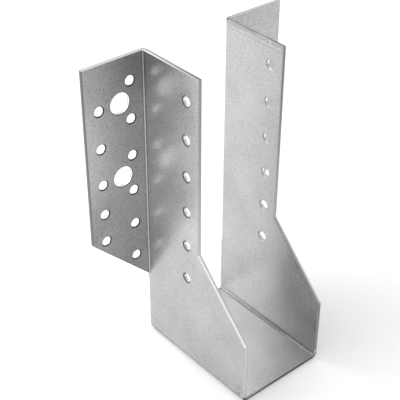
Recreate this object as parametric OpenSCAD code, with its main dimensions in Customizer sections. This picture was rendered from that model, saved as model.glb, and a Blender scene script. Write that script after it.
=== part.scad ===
// Joist hanger for one timber joist, folded from a single galvanised sheet.
// X runs across the joist, +Y points at the header beam, Z is up.
// The origin lies under the middle of the seat, level with its underside.

/* [Joist pocket] */
// Width of the joist that the pocket holds
joist_w = 48; // [38:1:80]
// Side play of the joist in the pocket, both sides together
joist_play = 1; // [0.5:0.5:3]
// Height of the pocket above the seat
pocket_h = 166; // [140:1:220]
// Depth from the front edge of the seat to the header plane
seat_depth = 76.5; // [66:0.5:100]

/* [Sheet] */
// Thickness of the sheet
sheet_t = 2; // [1.5:0.1:2.5]
// Inside radius of the folds
fold_r = 1; // [0.6:0.1:2]

/* [Walls] */
// Depth of the upper strip of a wall, from its front edge to the header plane
strip_depth = 41; // [36:0.5:52]
// Height of the upright front edge beside the seat
front_edge_h = 37; // [25:0.5:50]
// Rise of the slanted front edge above the level
front_slope = 45; // [35:1:50]
// Distance that the back of the seat keeps from the header plane
heel_gap = 1.5; // [1:0.1:2]

/* [Flanges] */
// Width of a flange beyond the outside of its wall
flange_w = 34; // [32:0.5:45]
// Height of the lower edge of a flange where it meets its wall
flange_low_h = 38.5; // [30:0.5:50]
// Rise of the lower edge of a flange above the level
flange_slope = 45; // [35:1:50]
// Radius of the corner between a flange and the heel below it
heel_fillet_r = 5; // [4:0.5:8]

/* [Nail holes] */
// Diameter of a nail hole
nail_d = 5; // [4:0.5:6]
// Distance between the nails of one column
nail_pitch = 20; // [18:1:24]
// Least distance of a nail from a slanted edge below it
nail_margin = 7.5; // [6:0.5:8]
// Distance of the inner flange nails from the outside of the wall
inner_nail_x = 8; // [7:0.5:9]
// Distance of the first inner flange nail from the top
inner_nail_top = 13; // [10:1:16]
// Distance of the outer flange nails from the outer edge of the flange
outer_nail_edge = 8; // [7:0.5:9]
// Distance of the first outer flange nail from the top
outer_nail_top = 23; // [20:1:26]
// Distance between the two lowest outer flange nails
low_nail_pitch = 16; // [14:1:18]
// Distance of the left wall's joist nails from the front edge of the strip
joist_nail_edge = 8.5; // [7:0.5:12]
// Distance of the first joist nail of the left wall from the top
joist_nail_top = 14; // [10:1:18]
// Rise of the right wall's nails above those of the left wall
stagger_rise = 2.2; // [0:0.1:3]
// Distance that the right wall's nails lie nearer to the front edge
stagger_front = 0.7; // [0:0.1:1]

/* [Bolt holes] */
// Diameter of a bolt hole
bolt_d = 11; // [9:0.5:11.5]
// Distance of the bolts from the outside of the wall
bolt_x = 14; // [13:0.5:15]
// Distance of the upper bolt from the top
bolt_top = 23; // [20:1:26]
// Distance between the two bolts of a flange
bolt_pitch = 40; // [36:1:44]

/* [Hidden] */
$fn = 64;
// Overlap of a cut beyond the faces that it opens
past = 1;
bend_r = fold_r + sheet_t;
inside_w = joist_w + joist_play;
outside_w = inside_w + 2 * sheet_t;
top_z = pocket_h + sheet_t;
front_y = -seat_depth / 2;
header_y = seat_depth / 2;
strip_y = header_y - strip_depth;
heel_y = header_y - heel_gap;
bend_y = header_y - bend_r;
wall_x = outside_w / 2;
flange_x = wall_x + flange_w;
slant_top_z = front_edge_h + (seat_depth - strip_depth) * tan(front_slope);
// The heel corner meets the lower edge of the flange at the header plane
heel_rise = sqrt(pow(heel_fillet_r, 2) - pow(heel_fillet_r - heel_gap, 2));
heel_z = flange_low_h - heel_rise;
outer_nail_x = flange_w - outer_nail_edge;
bolt_rows = [0, bolt_pitch];

// Height of the lower edge of a flange at a distance from the outside of the wall
function flange_edge_z(x) = flange_low_h + x * tan(flange_slope);

// Number of nails at the usual pitch between two heights
function nail_count(high, low) = floor((high - low) / nail_pitch) + 1;

// Heights of a column that starts below the top and ends above a lower limit
function nail_column(top, low) =
    [for (i = [0 : nail_count(top_z - top, low) - 1]) top_z - top - i * nail_pitch];

inner_nails = nail_column(inner_nail_top, flange_edge_z(inner_nail_x) + nail_margin);
lowest_outer_z = flange_edge_z(outer_nail_x) + nail_margin;
low_outer_nails = [lowest_outer_z, lowest_outer_z + low_nail_pitch];
outer_nails = concat(
    nail_column(outer_nail_top, lowest_outer_z + 2 * low_nail_pitch),
    low_outer_nails);
joist_nails = nail_column(joist_nail_top, front_edge_h + nail_margin);

// Rectangle with its two lower corners rounded, standing on the X axis
module round_foot(w, h, r) {
    translate([-w / 2, r]) square([w, h - r]);
    translate([-w / 2 + r, 0]) square([w - 2 * r, h]);
    for (side = [-1, 1]) translate([side * (w / 2 - r), r]) circle(r);
}

// Cross-section of the seat and its two walls, seen along the joist
module pocket_section(h) {
    difference() {
        round_foot(outside_w, h, bend_r);
        translate([0, sheet_t]) round_foot(inside_w, h, fold_r);
    }
}

// Seat and walls between two places along the joist
module pocket(from_y, to_y, h) {
    translate([0, to_y, 0]) rotate([90, 0, 0])
        linear_extrude(to_y - from_y) pocket_section(h);
}

// Plan of the right-hand flange and the fold that joins it to its wall
module flange_section() {
    intersection() {
        translate([wall_x + fold_r, bend_y]) difference() {
            circle(bend_r);
            circle(fold_r);
        }
        translate([wall_x - sheet_t, bend_y]) square(bend_r);
    }
    translate([wall_x + fold_r, header_y - sheet_t])
        square([flange_w - fold_r, sheet_t]);
}

// Waste in front of the strips, above the slanted front edges
module front_waste() {
    rotate([90, 0, 90]) linear_extrude(outside_w + 2 * past, center = true)
        polygon([
            [front_y - past, front_edge_h - past * tan(front_slope)],
            [strip_y, slant_top_z],
            [strip_y, top_z + past],
            [front_y - past, top_z + past]]);
}

// Waste under the lower edge of the right-hand flange
module flange_waste() {
    translate([0, header_y + past, 0]) rotate([90, 0, 0])
        linear_extrude(bend_r + 2 * past)
            polygon([
                [wall_x, heel_z - past],
                [wall_x, flange_low_h],
                [flange_x + past, flange_edge_z(flange_w + past)],
                [flange_x + past, heel_z - past]]);
}

// Waste behind the heel, with the round corner under the fold
module heel_waste() {
    rotate([90, 0, 90]) linear_extrude(outside_w + 2 * fold_r, center = true) {
        translate([heel_y, heel_z - past]) square([heel_gap + past, past]);
        intersection() {
            translate([heel_y + heel_fillet_r, heel_z]) circle(heel_fillet_r);
            translate([heel_y - past, heel_z]) square([heel_gap + 2 * past, heel_fillet_r]);
        }
    }
}

// Holes through the right-hand flange at one distance from its wall
module flange_holes(x, heights, d) {
    for (z = heights)
        translate([wall_x + x, header_y + past, z]) rotate([90, 0, 0])
            cylinder(h = sheet_t + 2 * past, d = d);
}

// Holes through the wall on one side for the nails into the joist
module joist_holes(side, front, rise) {
    for (z = joist_nails)
        translate([side * (wall_x - sheet_t / 2), strip_y + joist_nail_edge - front, z + rise])
            rotate([0, 90, 0])
                cylinder(h = sheet_t + 2 * past, d = nail_d, center = true);
}

// One flange with its fold, cut to shape and punched
module flange() {
    difference() {
        translate([0, 0, heel_z]) linear_extrude(top_z - heel_z) flange_section();
        flange_waste();
        heel_waste();
        flange_holes(inner_nail_x, inner_nails, nail_d);
        flange_holes(outer_nail_x, outer_nails, nail_d);
        flange_holes(bolt_x, [for (row = bolt_rows) top_z - bolt_top - row], bolt_d);
    }
}

// The whole hanger as one folded sheet
module hanger() {
    color("silver") union() {
        difference() {
            pocket(front_y, bend_y, top_z);
            front_waste();
            joist_holes(-1, 0, 0);
            joist_holes(1, stagger_front, stagger_rise);
        }
        pocket(bend_y, heel_y, heel_z);
        for (side = [0, 1]) mirror([side, 0, 0]) flange();
    }
}

hanger();
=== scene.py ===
import math

import bmesh
import bpy
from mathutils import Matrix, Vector


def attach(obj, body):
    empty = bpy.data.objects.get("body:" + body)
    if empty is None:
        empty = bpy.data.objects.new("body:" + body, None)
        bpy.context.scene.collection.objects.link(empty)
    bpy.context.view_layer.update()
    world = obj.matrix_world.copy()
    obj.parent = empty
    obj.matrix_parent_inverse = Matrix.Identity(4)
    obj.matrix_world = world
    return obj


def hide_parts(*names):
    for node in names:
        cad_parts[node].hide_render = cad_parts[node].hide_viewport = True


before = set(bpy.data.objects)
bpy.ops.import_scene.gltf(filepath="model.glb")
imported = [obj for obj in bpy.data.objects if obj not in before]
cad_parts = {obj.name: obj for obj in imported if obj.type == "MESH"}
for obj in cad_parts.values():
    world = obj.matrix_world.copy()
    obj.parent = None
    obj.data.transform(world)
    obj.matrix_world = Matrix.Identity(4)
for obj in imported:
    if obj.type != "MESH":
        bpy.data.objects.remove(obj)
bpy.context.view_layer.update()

# Sizes of the folded sheet, in metres, as the part's source has them.
SHEET = 0.002
WALL_IN = 0.0245
WALL_OUT = WALL_IN + SHEET
HEADER_Y = 0.03825
FLANGE_Y = HEADER_Y - SHEET
FOLD_IN = 0.001
FOLD_OUT = FOLD_IN + SHEET
FLANGE_FOLD = (WALL_OUT + FOLD_IN, FLANGE_Y - FOLD_IN)
SEAT_FOLD = (WALL_IN - FOLD_IN, SHEET + FOLD_IN)
HEEL_Z = 0.03493

# How far the rims beside a cut and around a nail hole are rounded.
EDGE_BREAK = 0.0003
HOLE_BREAK = 0.0005

# The small round corner between a flange and the heel, measured from HEEL_Z, keeps its sharp rims.
HEEL_SPAN = (-0.0004, 0.0034)
HEEL_FRONT_Y = 0.035

# Limits that tell the faces of the sheet apart, in metres and square metres.
# A facet is one of the flats that the wall of a hole is made of.
SAME = 2e-5
SLACK = 1e-5
NAIL_FACET = 1.3e-6
BOLT_FACET = 1.8e-6
HOLES_START_Z = 0.045
LARGE_FACE = 1e-3
TOP_RIM_Z = 0.1675
OUTER_RIM_X = 0.0602

# Limits for the parts of a face's normal.
ALONG_AXIS = 0.99
MOSTLY_ALONG = 0.9
TURNED_TO = 0.3
SEAT_BEND = (0.06, 0.998)
LOWER_HALF = 0.7
BESIDE_BEND = (0.05, 0.5)
UPRIGHT = 0.05

# Limits for the depth in the sheet, which runs from 0 on the outer side to 1 on the joist's side.
OUTER_DEPTH = 0.1
MIDDLE = 0.5
JOIST_DEPTH = 0.9

# Numbers of the finishes, in the order of the material slots.
# The shaded and lit bends are darker and lighter copies of the zinc: painted shade and painted light.
(
    SKIN, EDGE, PUNCHED, DARK_RIM, BRIGHT_RIM, SHADED_BEND,
    SLIT, FRONT, TOP, SHADED_HOLE_RIM, LIT_BEND,
) = range(11)
SKINS = {SKIN, SHADED_BEND, LIT_BEND}

# A fade eases a value from low at start to high at end: (start, end, low, high).
# The starts and ends are places in metres, or depths in the sheet from 0 to 1.
# The fades of one region are multiplied. Their product is the share of brightness that is lost there,
# and below zero it is a gain.
OUTER_SIDE = (0.45, 0.55, 1.0, 0.0)
JOIST_SIDE = (0.45, 0.55, 0.0, 1.0)
RIGHT_HALF = (-0.001, 0.001, 0.0, 1.0)
LOSS_TO_KEPT = (0.0, 1.0, 1.0, 0.0)

# Painted shade in the corners between the walls and the flanges, weaker on the right.
CORNER_REACH = (0.003, 0.023)
CORNER_SHARES = ((-1, 1.0), (1, 0.25))
CORNER_HEIGHT = (0.04, 0.18, 0.04, 0.155)

# A darker line in the inner corner of each fold of the seat, which ends before the front and thins out at the
# back.
FOLD_LINE_X, FOLD_LINE_Z = 0.0236, 0.0021
FOLD_LINE_REACH = (0.0003, 0.0013, 0.32, 0.0)
FOLD_LINE_FRONT = (-0.030, -0.005, 0.0, 1.0)
FOLD_LINE_BACK = (0.018, 0.033, 1.0, 0.35)

# Painted shade on the upper part of the flange fronts and of the walls' outsides, weaker on the right.
TOP_HEIGHT = (0.13, 0.162, 0.0, 0.2)
TOP_SIDES = (-0.001, 0.001, 1.0, 0.5)
TOP_WALL_FRONT = (-0.002, 0.018, 0.0, 1.0)
TOP_WALL_BACK = (0.022, 0.034, 1.0, 0.25)
ON_FLANGE = (0.0350, 0.0361, 0.0, 0.75)

# Painted shade on the left flange as a whole, and painted shade and light on the outsides of the walls: a
# little darker below and lighter above.
FLANGE_SIDES = (-0.001, 0.001, 0.093, 0.0)
OFF_FLANGE = (0.0345, 0.0352, 1.0, 0.0)
WALL_HEIGHT = (0.055, 0.085, 0.055, -0.07)

# A painted shade line along the lowest edge, which is weaker just behind the front cut.
ABOVE_FLOOR = (0.00005, 0.0003, 0.0, 1.0)
LOWEST_EDGE = (0.0015, 0.0031, 0.8, 0.0)
BEHIND_CUT = (-0.0378, -0.0350, 0.4, 1.0)

# Painted shade in the pocket: the foot of its walls with the seat, and the seat behind its front.
POCKET_FOOT = (0.0, 0.06, 0.08, 0.0)
ON_SEAT = (0.0022, 0.0040, 1.0, 0.0)
BEHIND_SEAT_FRONT = (-0.03, -0.01, 0.0, 0.07)

# The joist's side of the right wall, up to where its flange begins: its upper part darker as painted shade, a
# darker band under the top with a thin dark line below it, a painted highlight low in front, and a small
# bright spot in that band.
RIGHT_WALL_END = (0.0250, 0.0262, 1.0, 0.0)
RIGHT_WALL_HEIGHT = (0.05, 0.07, 0.0, 0.045)
DARK_BAND_UNDER_TOP = (0.1656, 0.1680, 0.0, 0.28)
THIN_LINE_BELOW = (0.1642, 0.1645, 0.0, 0.24)
THIN_LINE_ABOVE = (0.1646, 0.1649, 1.0, 0.0)
PAINTED_HIGHLIGHT_AT = (WALL_IN, -0.035, 0.041)
PAINTED_HIGHLIGHT_REACH = (0.003, 0.022, -0.58, 0.0)
BRIGHT_SPOT_AT = (WALL_IN, 0.0058, 0.1673)
BRIGHT_SPOT_REACH = (0.0003, 0.0009, -0.5, 0.0)

# The smudge at the foot of the left wall, and the spots that it is made of.
SMUDGE_AT = (-WALL_OUT, -0.0352, 0.0060)
SMUDGE_WEIGHTS = (1, 1, 0.7)
SMUDGE_REACH = (0.0006, 0.0032, 1.0, 0.0)
SMUDGE_NOISE = (650.0, 1.0)
SMUDGE_SPOTS = (0.45, 0.6, 0.0, 0.42)

# The zinc: noises as (scale, detail, roughness), their shares in the mottle, the mottle's stops as
# (place, grey, share of blue), and the gloss as a fade of the roughness.
CLOUD_NOISE = (38.0, 3.0)
GRAIN_NOISE = (1500.0, 2.0, 0.6)
CLOUD_SHARE, CLOUD_LIFT = 0.24, 0.08
GRAIN_SHARE = 0.6
ZINC_STOPS = ((0.35, 0.372, 1.012), (0.65, 0.648, 1.006))
ZINC_GLOSS = (0.3, 0.7, 0.24, 0.36)
ZINC_BUMP, ZINC_BUMP_DEPTH = 0.18, 0.0002

# The cut faces: noises, and the greys from one side of the sheet to the other.
CUT_NOISE = (1000.0, 2.0)
END_NOISE = (900.0, 2.0)
RAGGED = 0.12
SHEARED_STOPS = [(0.0, 0.85), (0.10, 0.97), (0.45, 0.95), (0.58, 0.54), (1.0, 0.52)]
TOP_STOPS = [(0.0, 0.72), (0.45, 0.72), (0.62, 0.52), (0.84, 0.26), (1.0, 0.24)]
SLIT_STOPS = [(0.1, 0.17), (0.5, 0.16), (1.0, 0.22)]
# The front ends of the walls are lit and shaded copies, painted light on the left and painted shade on the
# right, and the seat's end is dark below as painted shade.
LEFT_END_STOPS = [(0.14, 0.50), (0.30, 0.68), (0.78, 0.60), (0.94, 0.38)]
RIGHT_END_STOPS = [(0.10, 0.78), (0.28, 0.54), (0.72, 0.42), (0.98, 0.56)]
SEAT_END_STOPS = [(0.42, 0.08), (0.66, 0.45)]

# Where the greys of the cut faces change along the sheet, as painted shade, and how far the darker far side
# of the cut top reaches on the flanges.
SHEARED_SIDES = (-0.001, 0.001, 1.0, 0.68)
FLANGE_TOP_SHARE = 0.8
TOP_OF_WALL = (0.0262, 0.0275, 1.0, 0.0)
TOP_NEAR_FOLD = (0.008, 0.020, 0.0, 0.46)
END_SIDES = (-0.01, 0.01, 0.0, 1.0)
END_OF_SEAT = (0.0027, 0.0035, 1.0, 0.0)
END_ABOVE_SEAT = (0.003, 0.006, 0.0, 1.0)
END_BELOW_SLANT = (0.037, 0.06, 0.45, 0.0)

# The scuffed faces: noises, and the places of their two greys.
PUNCHED_NOISE = (1400.0, 2.0)
RIM_NOISE = (900.0, 2.0)
SCUFF_PLACES = (0.3, 0.7)
PUNCHED_GREYS = (0.93, 1.0)
RIM_SPREAD = (0.92, 1.08)

# The studio: the floor, the room with its bright side, and the soft box.
FLOOR_HALF = 6
FLOOR_DROP = 0.0001
FLOOR_GREY = 0.88
FLOOR_LIFT = 0.18
BRIGHT_SIDE = (-0.5, 0.6, 0.5)
ROOM_LEVELS = (-0.4, 0.95, 0.45, 1.25)
BOX_AT = (-0.42, 0.52, 0.62)
BOX_TARGET = (0, 0, 0.06)
BOX_SIZE = 0.7
BOX_POWER = 3.2

# The camera at the photo's angle.
LENS_MM, SENSOR_MM = 91.871, 36
LENS_SHIFT = (-0.05, 0.075)
CAMERA_AT = (-0.2821, -0.30195, 0.37466)
CAMERA_TURN = (0.94205, -0.01534, -0.72245)


def near(value, target):
    return abs(value - target) < SAME


def from_flange_fold(p):
    """Distance from the axis of the fold between a wall and its flange."""
    return math.hypot(abs(p.x) - FLANGE_FOLD[0], p.y - FLANGE_FOLD[1])


def from_seat_fold(p):
    """Distance from the axis of the fold between the seat and a wall."""
    return math.hypot(abs(p.x) - SEAT_FOLD[0], p.z - SEAT_FOLD[1])


def lies_at(face, measure, targets):
    """True where all corners of a face measure the same one of the targets."""
    found = [measure(v.co) for v in face.verts]
    return any(all(near(value, target) for value in found) for target in targets)


def on_skin(face):
    """True where a face is the sheet's own rolled surface, flat or folded, and not a cut edge."""
    flats = (
        (lambda p: abs(p.x), (WALL_IN, WALL_OUT)),
        (lambda p: p.y, (HEADER_Y, FLANGE_Y)),
        (lambda p: p.z, (0, SHEET)),
    )
    if any(lies_at(face, measure, targets) for measure, targets in flats):
        return True
    if lies_at(face, from_flange_fold, (FOLD_IN, FOLD_OUT)):
        return abs(face.normal.z) < 0.5
    if lies_at(face, from_seat_fold, (FOLD_IN, FOLD_OUT)):
        return abs(face.normal.y) < 0.5
    return False


def depth_in_sheet(p):
    """0 on the side of the sheet that the flange fronts show, 1 on the side that the joist touches."""
    x = abs(p.x)
    if near(x, WALL_OUT) and p.z > SEAT_FOLD[1]:
        return 0.0
    if x < FLANGE_FOLD[0] and p.y > FLANGE_FOLD[1] and p.z > HEEL_Z + SAME:
        return (from_flange_fold(p) - FOLD_IN) / SHEET
    if x >= FLANGE_FOLD[0]:
        return (p.y - FLANGE_Y) / SHEET
    if x > SEAT_FOLD[0] and p.z < SEAT_FOLD[1]:
        return (FOLD_OUT - from_seat_fold(p)) / SHEET
    if p.z < SEAT_FOLD[1]:
        return p.z / SHEET
    return (WALL_OUT - x) / SHEET


def far_side(p):
    """Depth in the sheet for the cut top: from the joist's side on the right wall, less on the flanges, so
    that its darker grey, partly painted shade, lies on the far side.
    """
    if 0 < p.x < WALL_OUT + SLACK and p.y < FLANGE_FOLD[1] + SLACK:
        return 1 - depth_in_sheet(p)
    return depth_in_sheet(p) * (FLANGE_TOP_SHARE if abs(p.x) > FLANGE_FOLD[0] else 1)


def scaled(tree, source, start, end, low, high, ease="SMOOTHSTEP"):
    """A value eased from low at start to high at end."""
    node = tree.nodes.new("ShaderNodeMapRange")
    node.interpolation_type = ease
    for key, value in (("From Min", start), ("From Max", end), ("To Min", low), ("To Max", high)):
        node.inputs[key].default_value = value
    tree.links.new(source, node.inputs["Value"])
    return node.outputs["Result"]


def worked_out(tree, operation, *values):
    """The result of one operation on sockets and plain numbers."""
    node = tree.nodes.new("ShaderNodeMath")
    node.operation = operation
    for entry, value in zip(node.inputs, values):
        if isinstance(value, float):
            entry.default_value = value
        else:
            tree.links.new(value, entry)
    return node.outputs[0]


def joined(tree, operation, values):
    """The values put together two by two, as in a sum or a product."""
    result = values[0]
    for value in values[1:]:
        result = worked_out(tree, operation, result, value)
    return result


def mixed(tree, share, first, second):
    """The first value where the share is 0 and the second where it is 1."""
    node = tree.nodes.new("ShaderNodeMix")
    node.data_type = "FLOAT"
    for i, value in ((0, share), (2, first), (3, second)):
        tree.links.new(value, node.inputs[i])
    return node.outputs[0]


def noise(tree, scale, detail, rough=0.5):
    """Noise that is fixed to the object."""
    node = tree.nodes.new("ShaderNodeTexNoise")
    for name, value in (("Scale", scale), ("Detail", detail), ("Roughness", rough)):
        node.inputs[name].default_value = value
    tree.links.new(tree.nodes.new("ShaderNodeTexCoord").outputs["Object"], node.inputs["Vector"])
    return node.outputs["Fac"]


def stored(tree, name):
    """A value that the mesh holds for each of its points."""
    node = tree.nodes.new("ShaderNodeAttribute")
    node.attribute_name = name
    return node.outputs["Fac"]


def ramp(tree, source, stops):
    """The colour of a ramp with the given (place, tone) stops in their order along it."""
    node = tree.nodes.new("ShaderNodeValToRGB")
    marks = node.color_ramp.elements
    marks[0].position, marks[1].position = stops[0][0], stops[-1][0]
    for place, _ in stops[1:-1]:
        marks.new(place)
    for mark, (_, tone) in zip(marks, stops):
        mark.color = (*tone, 1) if isinstance(tone, tuple) else (tone, tone, tone, 1)
    tree.links.new(source, node.inputs["Fac"])
    return node.outputs["Color"]


class Place:
    """The place of a point on the object, which the fades of a finish start from."""

    def __init__(self, tree):
        self.tree = tree
        self.whole = tree.nodes.new("ShaderNodeTexCoord").outputs["Object"]
        parts = tree.nodes.new("ShaderNodeSeparateXYZ")
        tree.links.new(self.whole, parts.inputs[0])
        self.parts = parts.outputs

    def along(self, axis, fade):
        """A fade along X, Y or Z."""
        return scaled(self.tree, self.parts[axis], *fade)

    def across(self, fade):
        """A fade across the thickness of the sheet."""
        return scaled(self.tree, stored(self.tree, "depth in sheet"), *fade)

    def around(self, point, fade, weights=(1, 1, 1)):
        """A fade with the distance from a point, in which each axis is weighted."""
        weighted = self.tree.nodes.new("ShaderNodeVectorMath")
        weighted.operation = "MULTIPLY"
        weighted.inputs[1].default_value = weights
        self.tree.links.new(self.whole, weighted.inputs[0])
        distance = self.tree.nodes.new("ShaderNodeVectorMath")
        distance.operation = "DISTANCE"
        distance.inputs[1].default_value = [a * b for a, b in zip(point, weights)]
        self.tree.links.new(weighted.outputs[0], distance.inputs[0])
        return scaled(self.tree, distance.outputs["Value"], *fade)

    def times(self, *values):
        """The product of several values."""
        return joined(self.tree, "MULTIPLY", values)


def corner_painted_shade(at):
    """Painted shade in the corners between the walls and the flanges."""
    outer, height = at.across(OUTER_SIDE), at.along("Z", CORNER_HEIGHT)
    losses = []
    for way, share in CORNER_SHARES:
        corner = (way * FLANGE_FOLD[0], FLANGE_FOLD[1], 0)
        close = at.around(corner, (*CORNER_REACH, share, 0.0), (1, 1, 0))
        losses.append(at.times(close, outer, height))
    return losses


def seat_fold_line_losses(at):
    """A thin darker line in the inner corner of each fold of the seat."""
    length = at.times(at.across(JOIST_SIDE), at.along("Y", FOLD_LINE_FRONT), at.along("Y", FOLD_LINE_BACK))
    lines = [at.around((way * FOLD_LINE_X, 0, FOLD_LINE_Z), FOLD_LINE_REACH, (1, 0, 1)) for way in (-1, 1)]
    return [at.times(length, line) for line in lines]


def outside_painted_light_and_shade(at):
    """Painted shade on the flange fronts and the outsides of the walls, with painted light high on the walls
    and a painted shade line along the lowest edge.
    """
    outer, on_flange = at.across(OUTER_SIDE), at.along("Y", ON_FLANGE)
    on_wall = at.times(at.along("Y", TOP_WALL_FRONT), at.along("Y", TOP_WALL_BACK))
    upper = joined(at.tree, "ADD", [on_wall, on_flange])
    lowest = at.times(at.along("Z", ABOVE_FLOOR), at.along("Z", LOWEST_EDGE))
    return [
        at.times(outer, upper, at.along("X", TOP_SIDES), at.along("Z", TOP_HEIGHT)),
        at.times(outer, on_flange, at.along("X", FLANGE_SIDES)),
        at.times(outer, at.along("Y", OFF_FLANGE), at.along("Z", WALL_HEIGHT)),
        at.times(outer, lowest, at.along("Y", BEHIND_CUT)),
    ]


def pocket_painted_shade(at):
    """Painted shade on the sides of the seat and the walls that face the joist."""
    joist_side = at.across(JOIST_SIDE)
    return [
        at.times(joist_side, at.along("Z", POCKET_FOOT)),
        at.times(joist_side, at.along("Z", ON_SEAT), at.along("Y", BEHIND_SEAT_FRONT)),
    ]


def right_wall_marks_and_painted_light(at):
    """Painted shade, a painted highlight and other marks on the joist's side of the right wall."""
    here = at.times(at.across(JOIST_SIDE), at.along("X", RIGHT_HALF), at.along("X", RIGHT_WALL_END))
    return [
        # Painted shade on the upper part.
        at.times(here, at.along("Z", RIGHT_WALL_HEIGHT)),
        at.times(here, at.along("Z", DARK_BAND_UNDER_TOP)),
        at.times(here, at.along("Z", THIN_LINE_BELOW), at.along("Z", THIN_LINE_ABOVE)),
        # A painted highlight low in front.
        at.times(here, at.around(PAINTED_HIGHLIGHT_AT, PAINTED_HIGHLIGHT_REACH, (0, 1, 1))),
        at.times(here, at.around(BRIGHT_SPOT_AT, BRIGHT_SPOT_REACH)),
    ]


def smudge_losses(at):
    """The spotty smudge at the foot of the left wall."""
    spots = scaled(at.tree, noise(at.tree, *SMUDGE_NOISE), *SMUDGE_SPOTS)
    return [at.times(at.around(SMUDGE_AT, SMUDGE_REACH, SMUDGE_WEIGHTS), spots)]


def kept_under_painted_shade_and_marks(tree):
    """How much of its brightness the zinc keeps under painted shade and painted light, the darker line in the
    seat folds, the marks on the right wall and the smudge.
    """
    at = Place(tree)
    regions = (
        corner_painted_shade, seat_fold_line_losses, outside_painted_light_and_shade, pocket_painted_shade, right_wall_marks_and_painted_light, smudge_losses,
    )
    losses = [loss for region in regions for loss in region(at)]
    return worked_out(tree, "SUBTRACT", 1.0, joined(tree, "ADD", losses))


def blank_material(name):
    mat = bpy.data.materials.new(name)
    mat.use_nodes = True
    tree = mat.node_tree
    return mat, tree, tree.nodes["Principled BSDF"]


def metal(name, rough=0.5):
    """A bare metal of one roughness."""
    mat, tree, shader = blank_material(name)
    shader.inputs["Metallic"].default_value = 1.0
    shader.inputs["Roughness"].default_value = rough
    return mat, tree, shader


def toned_down(mat, kept):
    """Takes the base colour of a finish down to the share of its brightness that is kept."""
    tree = mat.node_tree
    target = tree.nodes["Principled BSDF"].inputs["Base Color"]
    shaded = tree.nodes.new("ShaderNodeVectorMath")
    shaded.operation = "SCALE"
    tree.links.new(target.links[0].from_socket, shaded.inputs[0])
    tree.links.new(kept, shaded.inputs["Scale"])
    tree.links.new(shaded.outputs[0], target)
    return mat


def galvanised(name, tone=1.0, rough=0.0):
    """Hot-dip zinc on rolled sheet: a fine mottle on cloudy patches, and a soft gloss."""
    mat, tree, shader = metal(name)
    grain = noise(tree, *GRAIN_NOISE)
    clouds = worked_out(tree, "MULTIPLY_ADD", noise(tree, *CLOUD_NOISE), CLOUD_SHARE, CLOUD_LIFT)
    mottle = worked_out(tree, "MULTIPLY_ADD", grain, GRAIN_SHARE, clouds)
    stops = []
    for place, grey, blue in ZINC_STOPS:
        level = grey * tone
        stops.append((place, (level, level, level * blue)))
    tree.links.new(ramp(tree, mottle, stops), shader.inputs["Base Color"])
    # The base colour is darkened by painted shade and lifted by painted light in places, besides its marks.
    toned_down(mat, kept_under_painted_shade_and_marks(tree))
    start, end, smooth, dull = ZINC_GLOSS
    gloss = scaled(tree, mottle, start, end, smooth + rough, dull + rough, "LINEAR")
    tree.links.new(gloss, shader.inputs["Roughness"])
    bump = tree.nodes.new("ShaderNodeBump")
    bump.inputs["Strength"].default_value = ZINC_BUMP
    bump.inputs["Distance"].default_value = ZINC_BUMP_DEPTH
    tree.links.new(grain, bump.inputs["Height"])
    tree.links.new(bump.outputs["Normal"], shader.inputs["Normal"])
    return mat


def across_sheet(tree, grain, name, stops):
    """A grey that changes across the sheet, with slightly ragged lines between its bands."""
    return ramp(tree, worked_out(tree, "MULTIPLY_ADD", grain, RAGGED, stored(tree, name)), stops)


def cut_face(name, depth_name, stops, rough=0.35):
    """A face cut across the sheet."""
    mat, tree, shader = metal(name, rough)
    grey = across_sheet(tree, noise(tree, *CUT_NOISE), depth_name, stops)
    tree.links.new(grey, shader.inputs["Base Color"])
    return mat


def sheared_edge(name):
    """The slanted cuts: two bands across the sheet, darker on the right as painted shade."""
    mat = cut_face(name, "depth in sheet", SHEARED_STOPS)
    return toned_down(mat, Place(mat.node_tree).along("X", SHEARED_SIDES))


def cut_top(name):
    """The cut top: darker on its far side, partly the cut's rough zone and partly painted shade, and darker
    towards the fold of the right wall as painted shade.
    """
    mat = cut_face(name, "far side", TOP_STOPS, rough=0.5)
    at = Place(mat.node_tree)
    loss = at.times(at.along("X", RIGHT_HALF), at.along("X", TOP_OF_WALL), at.along("Y", TOP_NEAR_FOLD))
    return toned_down(mat, scaled(at.tree, loss, *LOSS_TO_KEPT))


def front_cut(name):
    """The cut ends in front, in painted light and shade: lighter on the left wall, darker on the right one
    and low on it, dark below on the seat.
    """
    mat, tree, shader = metal(name, rough=0.45)
    at = Place(tree)
    grain = noise(tree, *END_NOISE)
    left, right, seat = (
        across_sheet(tree, grain, "depth in sheet", stops)
        for stops in (LEFT_END_STOPS, RIGHT_END_STOPS, SEAT_END_STOPS)
    )
    walls = mixed(tree, at.along("X", END_SIDES), left, right)
    ends = mixed(tree, at.along("Z", END_OF_SEAT), walls, seat)
    tree.links.new(ends, shader.inputs["Base Color"])
    low = at.times(at.along("Z", END_ABOVE_SEAT), at.along("Z", END_BELOW_SLANT))
    return toned_down(mat, scaled(tree, at.times(at.along("X", RIGHT_HALF), low), *LOSS_TO_KEPT))


def scuffed(name, grain, greys, rough):
    """An evenly scuffed face between two greys."""
    mat, tree, shader = metal(name, rough)
    grey = ramp(tree, noise(tree, *grain), list(zip(SCUFF_PLACES, greys)))
    tree.links.new(grey, shader.inputs["Base Color"])
    return mat


def rolled_rim(name, tone):
    """The thin rolled-over rim where the zinc is broken beside a cut, in a grey that carries painted shade on
    the dark rims and a painted highlight on the bright one.
    """
    return scuffed(name, RIM_NOISE, [tone * share for share in RIM_SPREAD], rough=0.5)


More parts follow.
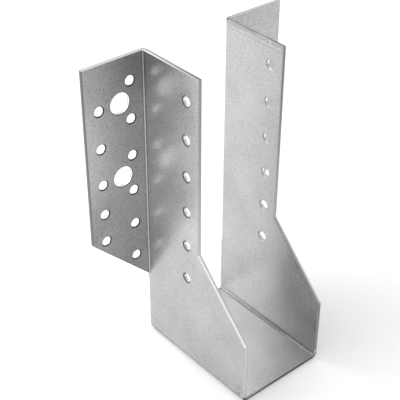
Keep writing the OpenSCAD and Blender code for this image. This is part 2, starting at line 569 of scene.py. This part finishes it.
def skin_finish(face):
    """The finish of a rolled face: darker zinc as painted shade beside the bends and low in the seat folds,
    lighter zinc as painted light higher in the seat folds, and plain zinc elsewhere.
    """
    centre = face.calc_center_median()
    depth = depth_in_sheet(face.verts[0].co)
    across, along, up = (abs(part) for part in face.normal)
    in_seat_fold = abs(centre.x) > SEAT_FOLD[0] and centre.z < SEAT_FOLD[1]
    if in_seat_fold and SEAT_BEND[0] < across < SEAT_BEND[1] and depth > JOIST_DEPTH:
        return SHADED_BEND if face.normal.z > LOWER_HALF else LIT_BEND
    beside_bend = BESIDE_BEND[0] < min(across, along) < BESIDE_BEND[1] and up < UPRIGHT
    return SHADED_BEND if beside_bend and depth < OUTER_DEPTH else SKIN


def finish_of(face):
    """The finish of a face before the rims are rounded."""
    if on_skin(face):
        return skin_finish(face)
    if face.calc_area() < BOLT_FACET and face.calc_center_median().z > HOLES_START_Z:
        return PUNCHED if face.calc_area() < NAIL_FACET else EDGE
    if abs(face.normal.y) > MOSTLY_ALONG:
        return FRONT
    if face.normal.z > ALONG_AXIS:
        return TOP
    return SLIT if abs(face.normal.x) > ALONG_AXIS else EDGE


def rim_finish(rim, round_hole):
    """The finish of a rim, from where it lies on the sheet: a dark rim is painted shade, a bright rim a
    painted highlight.
    """
    centre = rim.calc_center_median()
    on_joist_side = depth_in_sheet(centre) > MIDDLE
    if centre.z > TOP_RIM_Z:
        return TOP
    if abs(centre.x) > OUTER_RIM_X:
        return SLIT
    if abs(centre.x) > FLANGE_FOLD[0]:
        return BRIGHT_RIM if on_joist_side else DARK_RIM
    if round_hole and centre.x > 0:
        return SKIN if on_joist_side else BRIGHT_RIM
    if round_hole:
        return BRIGHT_RIM if on_joist_side else SHADED_HOLE_RIM
    if centre.z < SEAT_FOLD[1] or (rim.normal.y < -TURNED_TO and abs(rim.normal.z) < TURNED_TO):
        return FRONT
    if rim.normal.y > TURNED_TO:
        return SKIN
    return EDGE if on_joist_side else BRIGHT_RIM


def at_heel(edge):
    """True at the small round corner between a flange and the heel."""
    low, high = HEEL_SPAN
    return any(low < v.co.z - HEEL_Z < high and v.co.y > HEEL_FRONT_Y for v in edge.verts)


def break_rims(bm, cut_finishes, width):
    """Rounds the rims between the sheet's skins and the cut faces of some finishes."""
    rims = []
    for edge in bm.edges:
        kinds = {f.material_index for f in edge.link_faces}
        if cut_finishes & kinds and SKINS & kinds and not at_heel(edge):
            rims.append(edge)
    made = bmesh.ops.bevel(
        bm, geom=rims, offset=width, offset_type="OFFSET", segments=2, profile=0.5,
        affect="EDGES", clamp_overlap=False, material=-1, loop_slide=False,
        miter_outer="SHARP", miter_inner="SHARP",
    )
    bm.normal_update()
    for face in made["faces"]:
        face.material_index = rim_finish(face, PUNCHED in cut_finishes)


def flatten_walls(bm):
    """Brings the corners of the large wall faces back onto their planes after the rims are rounded."""
    for face in bm.faces:
        on_wall = face.material_index == SKIN and abs(face.normal.x) > MOSTLY_ALONG
        if on_wall and face.calc_area() > LARGE_FACE:
            xs = sorted(v.co.x for v in face.verts)
            for vert in face.verts:
                vert.co.x = xs[len(xs) // 2]
    bm.normal_update()


def store(mesh, name, measure):
    """Keeps a value for each point of the mesh, where the finishes find it by its name."""
    values = mesh.attributes.new(name, "FLOAT", "POINT")
    values.data.foreach_set("value", [measure(v.co) for v in mesh.vertices])


def sheet_mesh(node):
    """The mesh of the folded sheet with broken rims, from a merged copy of the CAD solid."""
    bm = bmesh.new()
    bm.from_mesh(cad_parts[node].data)
    bmesh.ops.remove_doubles(bm, verts=bm.verts, dist=1e-6)
    bmesh.ops.dissolve_limit(bm, angle_limit=math.radians(0.4), verts=bm.verts, edges=bm.edges)
    bm.normal_update()
    for face in bm.faces:
        face.material_index = finish_of(face)
    break_rims(bm, {PUNCHED}, HOLE_BREAK)
    break_rims(bm, {EDGE, SLIT, FRONT, TOP}, EDGE_BREAK)
    flatten_walls(bm)
    for face in bm.faces:
        face.smooth = True
    mesh = bpy.data.meshes.new("hanger_sheet")
    bm.to_mesh(mesh)
    bm.free()
    store(mesh, "depth in sheet", depth_in_sheet)
    store(mesh, "far side", far_side)
    mesh.set_sharp_from_angle(angle=math.radians(40))
    return mesh


def folded_hanger(node):
    """The dressed hanger in place of its CAD node."""
    mesh = sheet_mesh(node)
    piece = bpy.data.objects.new("hanger_sheet", mesh)
    bpy.context.scene.collection.objects.link(piece)
    finishes = {
        SKIN: galvanised("galvanised sheet"),
        EDGE: sheared_edge("sheared edge"),
        PUNCHED: scuffed("punched hole wall", PUNCHED_NOISE, PUNCHED_GREYS, rough=0.4),
        # The dark rims carry painted shade and the bright rim a painted highlight.
        DARK_RIM: rolled_rim("rolled rim with painted shade", tone=0.06),
        BRIGHT_RIM: rolled_rim("rolled rim with painted highlight", tone=0.9),
        SHADED_BEND: galvanised("zinc with painted shade beside the folds", tone=0.6, rough=0.1),
        SLIT: cut_face("slit edge", "depth in sheet", SLIT_STOPS),
        FRONT: front_cut("cut end with painted light and shade"),
        TOP: cut_top("cut top"),
        SHADED_HOLE_RIM: rolled_rim("rolled rim with lighter painted shade", tone=0.13),
        LIT_BEND: galvanised("zinc with painted light in the seat fold", tone=1.18, rough=0.05),
    }
    for number in range(len(finishes)):
        mesh.materials.append(finishes[number])
    even = piece.modifiers.new("even shading", "WEIGHTED_NORMAL")
    even.keep_sharp = True
    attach(piece, "root")
    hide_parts(node)


def background_rays(tree):
    """1 for the rays that see the background: from the camera, off metal or through glass."""
    path = tree.nodes.new("ShaderNodeLightPath")
    rays = ("Is Camera Ray", "Is Glossy Ray", "Is Transmission Ray")
    return joined(tree, "MAXIMUM", [path.outputs[ray] for ray in rays])


def pale_floor():
    """White paper under the hanger, which keeps its shadow."""
    bm = bmesh.new()
    bmesh.ops.create_grid(bm, x_segments=1, y_segments=1, size=FLOOR_HALF)
    mesh = bpy.data.meshes.new("floor")
    bm.to_mesh(mesh)
    bm.free()
    floor = bpy.data.objects.new("floor", mesh)
    floor.location.z = -FLOOR_DROP
    bpy.context.scene.collection.objects.link(floor)
    mat, tree, shader = blank_material("white paper floor")
    shader.inputs["Base Color"].default_value = (FLOOR_GREY, FLOOR_GREY, FLOOR_GREY, 1)
    shader.inputs["Roughness"].default_value = 0.95
    shader.inputs["Specular IOR Level"].default_value = 0.0
    shader.inputs["Emission Color"].default_value = (1, 1, 1, 1)
    lift = worked_out(tree, "MULTIPLY", background_rays(tree), FLOOR_LIFT)
    tree.links.new(lift, shader.inputs["Emission Strength"])
    mesh.materials.append(mat)


def soft_box():
    """A square lamp behind the hanger on its left."""
    lamp = bpy.data.lights.new("soft box behind", "AREA")
    lamp.shape = "RECTANGLE"
    lamp.size = lamp.size_y = BOX_SIZE
    lamp.energy = BOX_POWER
    holder = bpy.data.objects.new("soft box behind", lamp)
    holder.location = BOX_AT
    way = Vector(BOX_TARGET) - Vector(BOX_AT)
    holder.rotation_euler = way.to_track_quat("-Z", "Y").to_euler()
    bpy.context.scene.collection.objects.link(holder)


def white_room():
    """A white room, lighter towards the wall behind the object than on the camera's side."""
    world = bpy.data.worlds.new("studio")
    bpy.context.scene.world = world
    world.use_nodes = True
    tree = world.node_tree
    back = tree.nodes["Background"]
    back.inputs["Color"].default_value = (1, 1, 1, 1)
    facing = tree.nodes.new("ShaderNodeVectorMath")
    facing.operation = "DOT_PRODUCT"
    facing.inputs[1].default_value = Vector(BRIGHT_SIDE).normalized()
    tree.links.new(tree.nodes.new("ShaderNodeTexCoord").outputs["Generated"], facing.inputs[0])
    level = scaled(tree, facing.outputs["Value"], *ROOM_LEVELS)
    tree.links.new(level, back.inputs["Strength"])


def photo_camera():
    lens = bpy.data.cameras.new("camera")
    lens.sensor_width = SENSOR_MM
    lens.lens = LENS_MM
    lens.shift_x, lens.shift_y = LENS_SHIFT
    camera = bpy.data.objects.new("camera", lens)
    camera.location = CAMERA_AT
    camera.rotation_euler = CAMERA_TURN
    bpy.context.scene.collection.objects.link(camera)
    bpy.context.scene.camera = camera


folded_hanger("hanger")
pale_floor()
white_room()
soft_box()
photo_camera()
bpy.context.scene.view_settings.view_transform = "Standard"
